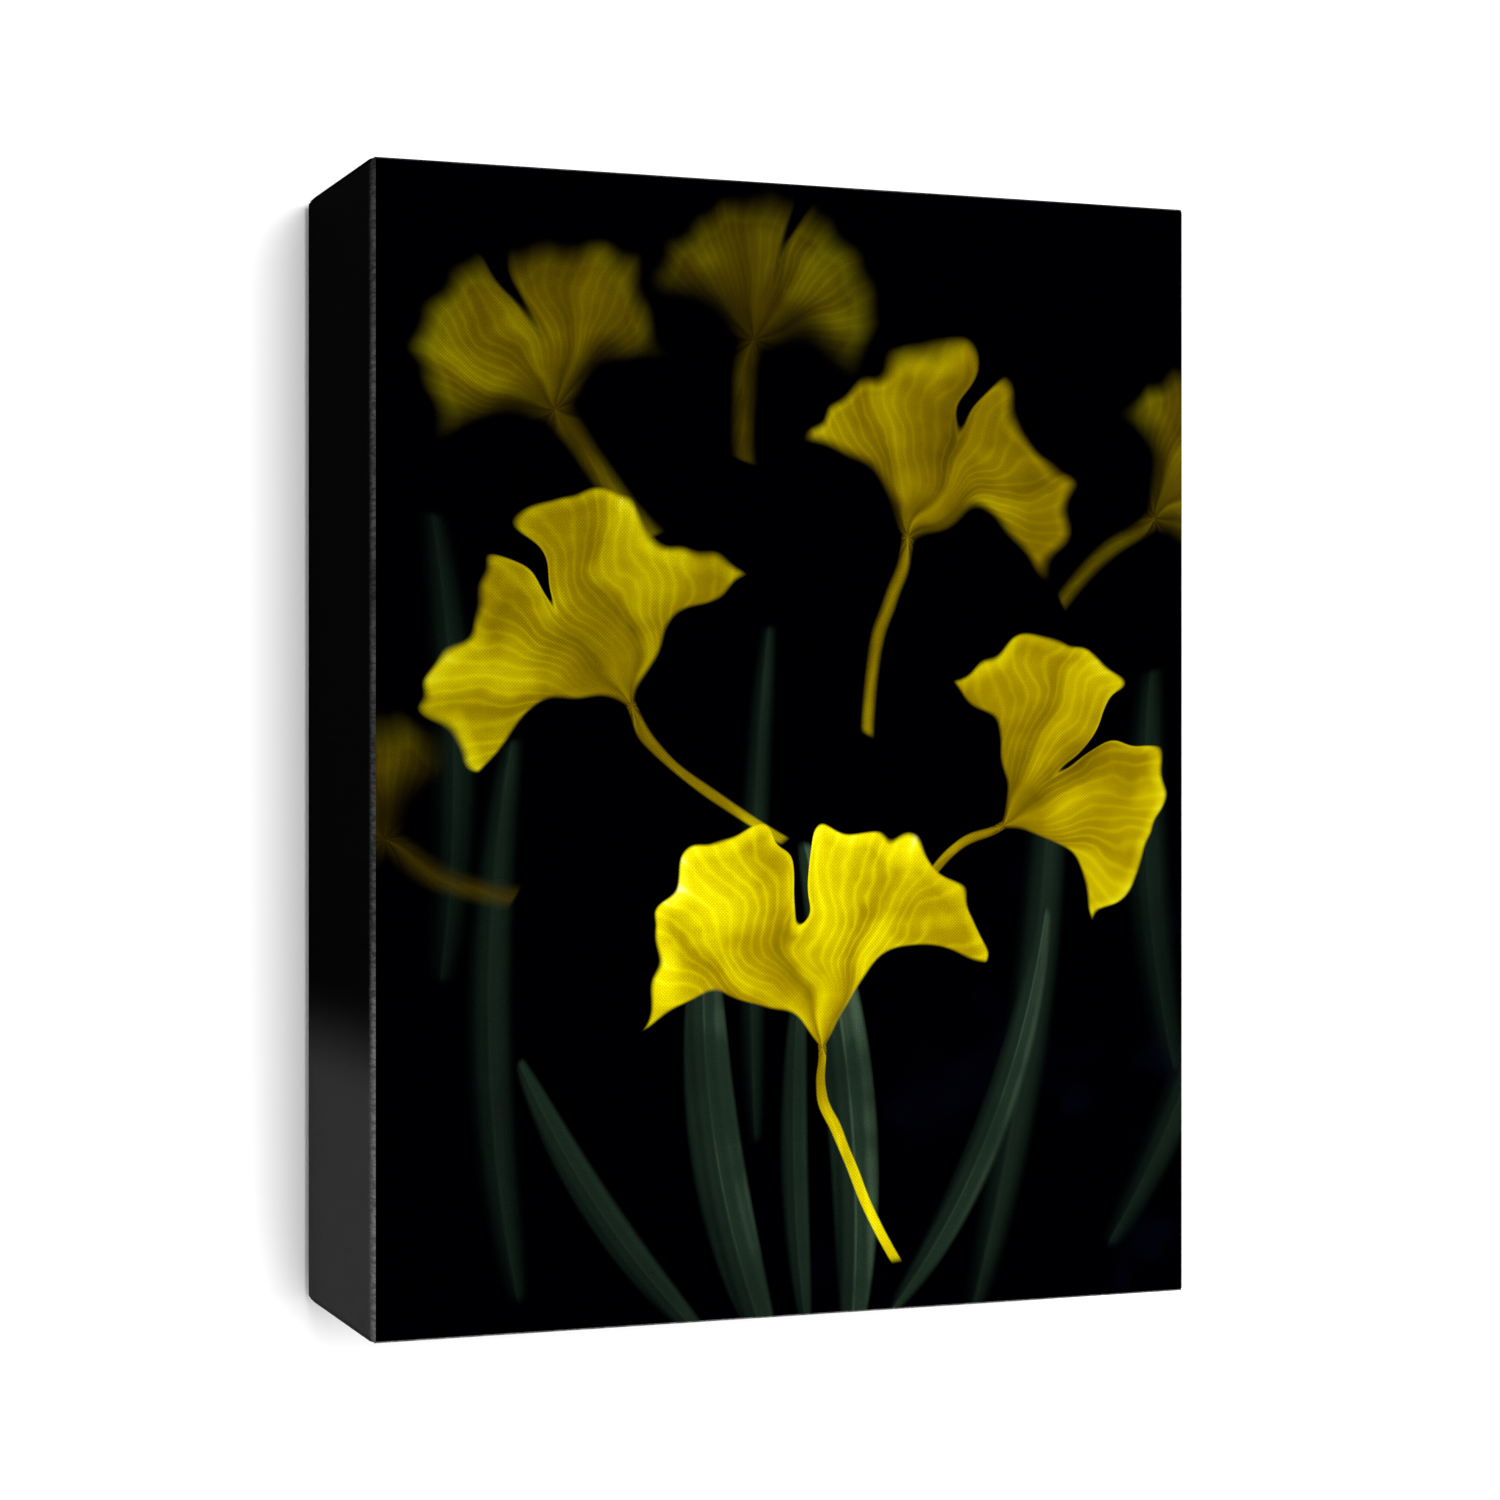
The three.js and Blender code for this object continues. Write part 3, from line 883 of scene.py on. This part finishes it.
def make_bare_canvas(name, light_cotton):
    """The unprinted reverse and the cut rim: raw woven cotton with darker specks of husk. It is
    black in the squares that are folded in at the corners."""
    material, tree, shader = start_material(name)
    place = flat_place(tree)
    weave = use_group(tree, plain_weave, Place=place, Pitch=thread_pitch)
    husk = place.stretched(*husk_scale).cloud(1.0, detail=1).rise(0.70, 0.76)
    # Painted shade and light: the cotton is darker in the weave's hollows and lighter on its
    # crowns and thick slubs.
    cotton = (weave["Height"] * 0.6 + weave["Slub"] * 0.4).mixed(shaded_cotton, light_cotton)
    cotton = (husk * 0.5).mixed(cotton, husk_brown)
    across, up, _ = place.parts()
    # The cotton is black where it is folded in at the corners.
    past_side = (across.size() - half_width).rise(-0.5 * mm, 0.0)
    past_end = (up.size() - half_height).rise(-0.5 * mm, 0.0)
    plug(tree, (past_side * past_end).mixed(cotton, side_ink), shader.inputs["Base Color"])
    plug(tree, weave["Slub"] * 0.1 + 0.85, shader.inputs["Roughness"])
    shader.inputs["Specular IOR Level"].default_value = cotton_gloss
    relief(tree, shader, weave["Height"], reverse_relief)
    return material


canvas = finished(cloth, "stretched_canvas", make_printed_canvas(), "canvas", "canvas")
canvas.data.materials.append(make_bare_canvas("canvas_reverse", reverse_cotton))
canvas.data.materials.append(make_bare_canvas("canvas_cut_rim", rim_cotton))
canvas.vertex_groups.new(name="body")
thickness = canvas.modifiers.new("cloth thickness", "SOLIDIFY")
thickness.vertex_group = "body"
thickness.thickness = cloth_thickness
thickness.offset = -1
thickness.use_rim = True
thickness.use_even_offset = False
thickness.material_offset = 1
thickness.material_offset_rim = 2

# ---------------------------------------------------------------------------------------------
# Frayed ends of cut threads along the flaps' edges. Loose cotton yarn ends, a few millimetres
# long, that came out of the weave when the cloth was cut.
# ---------------------------------------------------------------------------------------------

random.seed(11)
fray_radius = 0.07 * mm
fray_longest = 2.6 * mm
fray_root = 0.4 * mm
fray_points = 5
frays_per_metre = 420
fray_lift = 0.5


def fray_path(start, out, length):
    """The places of one loose thread, from inside the cut edge outwards, as it lies on the bar."""
    drift = random.uniform(-0.5, 0.5) * length
    curl = random.uniform(-0.3, 0.3) * length
    sideways = Vector((-out.y, out.x))
    path = []
    for step in range(fray_points):
        share = step / (fray_points - 1)
        aside = drift * share + curl * share * share
        flat = start + out * (length * share - fray_root) + sideways * aside
        sunk = Vector((0, (share - 1) * fray_lift * cloth_thickness, 0))
        path.append(folded(flat.x, flat.y) + sunk)
    return path


def fray_edge(first, last, out):
    """Threads at random places along one cut edge of the flat cloth."""
    count = int((last - first).length * frays_per_metre)
    for _ in range(count):
        start = first.lerp(last, random.random())
        length = random.uniform(0.5, 1.0) ** 2 * fray_longest
        path = fray_path(start, out, length)
        spline = yarn.splines.new("POLY")
        spline.points.add(len(path) - 1)
        for point, place in zip(spline.points, path):
            point.co = (*place, 1)
            point.radius = random.uniform(0.6, 1.0)


yarn = bpy.data.curves.new("yarn", "CURVE")
yarn.dimensions = "3D"
yarn.bevel_depth = fray_radius
yarn.bevel_resolution = 0
yarn.use_fill_caps = True
flap_edge_across = half_width + depth + flap
flap_edge_up = half_height + depth + flap
flap_end = half_width - flap + flap_end_trim
for end in (-1, 1):
    side_ends = (-half_height + flap, half_height - flap)
    side_flap = [Vector((end * flap_edge_across, up)) for up in side_ends]
    cover_flap = [Vector((across, end * flap_edge_up)) for across in (-flap_end, flap_end)]
    fray_edge(*side_flap, Vector((end, 0)))
    fray_edge(*cover_flap, Vector((0, end)))
drawn = bpy.data.objects.new("yarn", yarn)
bpy.context.scene.collection.objects.link(drawn)
threads_mesh = bpy.data.meshes.new_from_object(drawn)
bpy.data.objects.remove(drawn)

cotton_yarn, tree, shader = start_material("cotton_yarn")
yarn_dark = shade(206, 196, 172)
yarn_light = shade(240, 236, 224)
fuzz_relief = 0.05 * mm
fuzz = object_place(tree).cloud(4000.0, detail=1)
plug(tree, fuzz.mixed(yarn_dark, yarn_light), shader.inputs["Base Color"])
shader.inputs["Roughness"].default_value = 0.9
relief(tree, shader, fuzz, fuzz_relief)
threads_mesh.materials.append(cotton_yarn)
threads = bpy.data.objects.new("frayed_threads", threads_mesh)
bpy.context.scene.collection.objects.link(threads)
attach(threads, "root")

# ---------------------------------------------------------------------------------------------
# Eighteen staples of flat galvanised wire, shot through the flaps into the backs of the bars:
# four above, four below and five up each side. The outer ones above and below pin the covering
# flap down on the folded corner.
# ---------------------------------------------------------------------------------------------

steel_relief = 0.02 * mm


def make_steel(name, pale, dull, rough, streaks):
    """Zinc-coated steel: soft crystal patches, drawing lines, and duller spots."""
    material, tree, shader = start_material(name)
    place = object_place(tree)
    patches = place.cloud(900.0, detail=2)
    lines = place.stretched(*streaks).cloud(1.0, detail=2, roughness=0.7)
    spots = place.moved(0.3, 0.1).cloud(260.0, detail=3).rise(0.56, 0.70)
    zinc = patches.rise(0.35, 0.65).mixed(dull, pale)
    plug(tree, (spots * 0.5).mixed(zinc, dull), shader.inputs["Base Color"])
    plug(tree, lines * 0.18 + spots * 0.2 + rough, shader.inputs["Roughness"])
    shader.inputs["Metallic"].default_value = 1.0
    relief(tree, shader, lines * 0.7 + patches * 0.3, steel_relief)
    return material


wire_pale = shade(206, 208, 212)
wire_dull = shade(158, 160, 164)
wire_roughness = 0.26
wire_streaks = (300, 4000, 300)
staple_count = 18
staple_easing = 0.18 * mm
staple_steel = make_steel("galvanised_wire", wire_pale, wire_dull, wire_roughness, wire_streaks)
for number in range(1, staple_count + 1):
    dressed(f"staple_{number:02d}", staple_steel, "staples", staple_easing)

# ---------------------------------------------------------------------------------------------
# The sawtooth hanger and its two nails. Bright zinc-plated strip, pressed up in the middle with
# teeth along its lower edge, and nailed through both ends into the back of the top bar.
# ---------------------------------------------------------------------------------------------

strip_pale = shade(218, 220, 223)
strip_dull = shade(196, 198, 202)
strip_roughness = 0.24
strip_streaks = (60, 900, 2600)
hanger_easing = 0.12 * mm
strip_zinc = (strip_pale, strip_dull, strip_roughness, strip_streaks)
dressed("hanger", make_steel("zinc_plated_strip", *strip_zinc), "hanger", hanger_easing)

round_steps = 48


def spun(name, profile, material, slot, node):
    """A round piece along y from its outline of (radius, depth) points, where the CAD piece is."""
    low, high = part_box(node)
    centre = (low + high) / 2
    turned = bmesh.new()
    points = []
    for radius, back in profile:
        points.append(turned.verts.new((centre.x + radius, low.y + back, centre.z)))
    lines = [turned.edges.new(pair) for pair in zip(points, points[1:])]
    bmesh.ops.spin(
        turned, geom=points + lines, cent=centre, axis=(0, 1, 0), dvec=(0, 0, 0),
        angle=math.tau, steps=round_steps, use_merge=True, use_duplicate=False,
    )
    bmesh.ops.remove_doubles(turned, verts=turned.verts, dist=weld)
    bmesh.ops.recalc_face_normals(turned, faces=turned.faces)
    finished(turned, name, material, slot, node)


shank = 0.7 * mm
point_length = 3 * mm
head_thickness = 0.8 * mm
rim_thickness = 0.3 * mm
dome_steps = 6
for end in ("left", "right"):
    node = "hanger_nail_" + end
    low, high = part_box(node)
    length = high.y - low.y
    head_radius = (high.x - low.x) / 2
    under_head = length - head_thickness
    outline = [(0, 0), (shank, point_length), (shank, under_head), (head_radius, under_head)]
    for step in range(dome_steps):
        angle = math.pi / 2 * step / dome_steps
        dome = (head_thickness - rim_thickness) * math.sin(angle)
        outline.append((head_radius * math.cos(angle), under_head + rim_thickness + dome))
    outline.append((0, length))
    spun("round_head_nail_" + end, outline, staple_steel, "staples", node)

# ---------------------------------------------------------------------------------------------
# Two wall bumpers. Soft dark rubber pads, stuck on at the lower back corners, that keep the
# print level and its lower edge off the wall.
# ---------------------------------------------------------------------------------------------

rubber_dark = shade(34, 34, 36)
rubber_bloom = shade(58, 58, 60)
dust_grey = shade(150, 148, 142)
rubber_relief = 0.03 * mm
rubber, tree, shader = start_material("soft_rubber")
place = object_place(tree)
bloom = place.cloud(220.0, detail=3)
dust = place.cloud(3500.0, detail=1).rise(0.68, 0.74)
aged = bloom.rise(0.3, 0.7).mixed(rubber_dark, rubber_bloom)
plug(tree, (dust * 0.35).mixed(aged, dust_grey), shader.inputs["Base Color"])
plug(tree, bloom * 0.25 + 0.6, shader.inputs["Roughness"])
relief(tree, shader, place.cloud(2600.0, detail=2), rubber_relief)

bumper_edge = 0.9 * mm
edge_steps = 6
glue_height = 0.25 * mm
glue_inset = 0.3 * mm
for end in ("left", "right"):
    low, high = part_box("bumper_" + end)
    radius, height = (high.x - low.x) / 2, high.y - low.y
    foot = radius - glue_inset
    outline = [(0, 0), (foot, 0), (foot, glue_height), (radius, glue_height)]
    for step in range(edge_steps + 1):
        angle = math.pi / 2 * step / edge_steps
        outline.append((
            radius - bumper_edge * (1 - math.cos(angle)),
            height - bumper_edge * (1 - math.sin(angle)),
        ))
    outline.append((0, height))
    spun("wall_bumper_" + end, outline, rubber, "bumpers", "bumper_" + end)

# ---------------------------------------------------------------------------------------------
# The setting: a white wall that the print hangs on, a pale floor below, soft lamps in front and
# behind, and the camera at the photograph's viewing angle. The wall shows only from its front,
# so that the back of the print can be seen and lit too.
# ---------------------------------------------------------------------------------------------

room_size = 3.0
floor_drop = 0.5
wall_white = (0.9, 0.9, 0.9, 1)
floor_grey = (0.65, 0.65, 0.65, 1)


def make_plane(name, size, location, rotation, material):
    """A square plane of the setting, which isn't part of the object."""
    sheet = bmesh.new()
    bmesh.ops.create_grid(sheet, x_segments=1, y_segments=1, size=size / 2)
    mesh = bpy.data.meshes.new(name)
    sheet.to_mesh(mesh)
    sheet.free()
    mesh.materials.append(material)
    plane = bpy.data.objects.new(name, mesh)
    plane.location = location
    plane.rotation_euler = rotation
    bpy.context.scene.collection.objects.link(plane)


wall_paint, tree, shader = start_material("white_wall_paint")
shader.inputs["Base Color"].default_value = wall_white
shader.inputs["Roughness"].default_value = 1.0
shader.inputs["Specular IOR Level"].default_value = 0.0
behind = Wire(tree, tree.nodes.new("ShaderNodeNewGeometry").outputs["Backfacing"])
shadow_ray = Wire(tree, tree.nodes.new("ShaderNodeLightPath").outputs["Is Shadow Ray"])
clear = tree.nodes.new("ShaderNodeBsdfTransparent")
either = tree.nodes.new("ShaderNodeMixShader")
plug(tree, behind.maths("MAXIMUM", shadow_ray), either.inputs[0])
tree.links.new(shader.outputs[0], either.inputs[1])
tree.links.new(clear.outputs[0], either.inputs[2])
tree.links.new(either.outputs[0], tree.nodes["Material Output"].inputs["Surface"])
make_plane("wall", room_size, (0, 0, middle), (math.pi / 2, 0, 0), wall_paint)

floor_paint, tree, shader = start_material("pale_floor")
shader.inputs["Base Color"].default_value = floor_grey
shader.inputs["Roughness"].default_value = 0.8
make_plane("floor", room_size, (0, 0, middle - floor_drop), (0, 0, 0), floor_paint)


def add_lamp(name, place, size, watts):
    """A square soft lamp that looks at the middle of the print."""
    lamp = bpy.data.lights.new(name, "AREA")
    lamp.shape = "SQUARE"
    lamp.size = size
    lamp.energy = watts
    lit = bpy.data.objects.new(name, lamp)
    lit.location = place
    look = Vector((0, 0, middle)) - Vector(place)
    lit.rotation_euler = look.to_track_quat("-Z", "Y").to_euler()
    bpy.context.scene.collection.objects.link(lit)


add_lamp("front_softbox", place=(0.11, -1.6, middle + 0.18), size=0.72, watts=32)
add_lamp("rear_softbox", place=(-0.9, 1.2, middle + 0.6), size=0.8, watts=18)

room_light = 0.35
world = bpy.data.worlds.new("studio")
world.use_nodes = True
background = world.node_tree.nodes["Background"]
background.inputs["Color"].default_value = (1, 1, 1, 1)
background.inputs["Strength"].default_value = room_light
bpy.context.scene.world = world

# The camera stands level with the middle of the print and looks past its near edge, turned
# from square to the wall by view_turn. The distances are from the lens to the near front edge,
# across and along the view.
view_turn = math.radians(20.61)
lens_length = 77.83
edge_aside = -0.3165 * 2 * half_height
edge_ahead = 2.729 * 2 * half_height
camera_data = bpy.data.cameras.new("camera")
camera_data.lens = lens_length
camera = bpy.data.objects.new("camera", camera_data)
aside = Vector((math.cos(view_turn), -math.sin(view_turn), 0))
ahead = Vector((math.sin(view_turn), math.cos(view_turn), 0))
camera.location = Vector((-half_width, front, middle)) - aside * edge_aside - ahead * edge_ahead
camera.rotation_euler = (math.pi / 2, 0, -view_turn)
bpy.context.scene.collection.objects.link(camera)
bpy.context.scene.camera = camera
bpy.context.scene.view_settings.view_transform = "Standard"
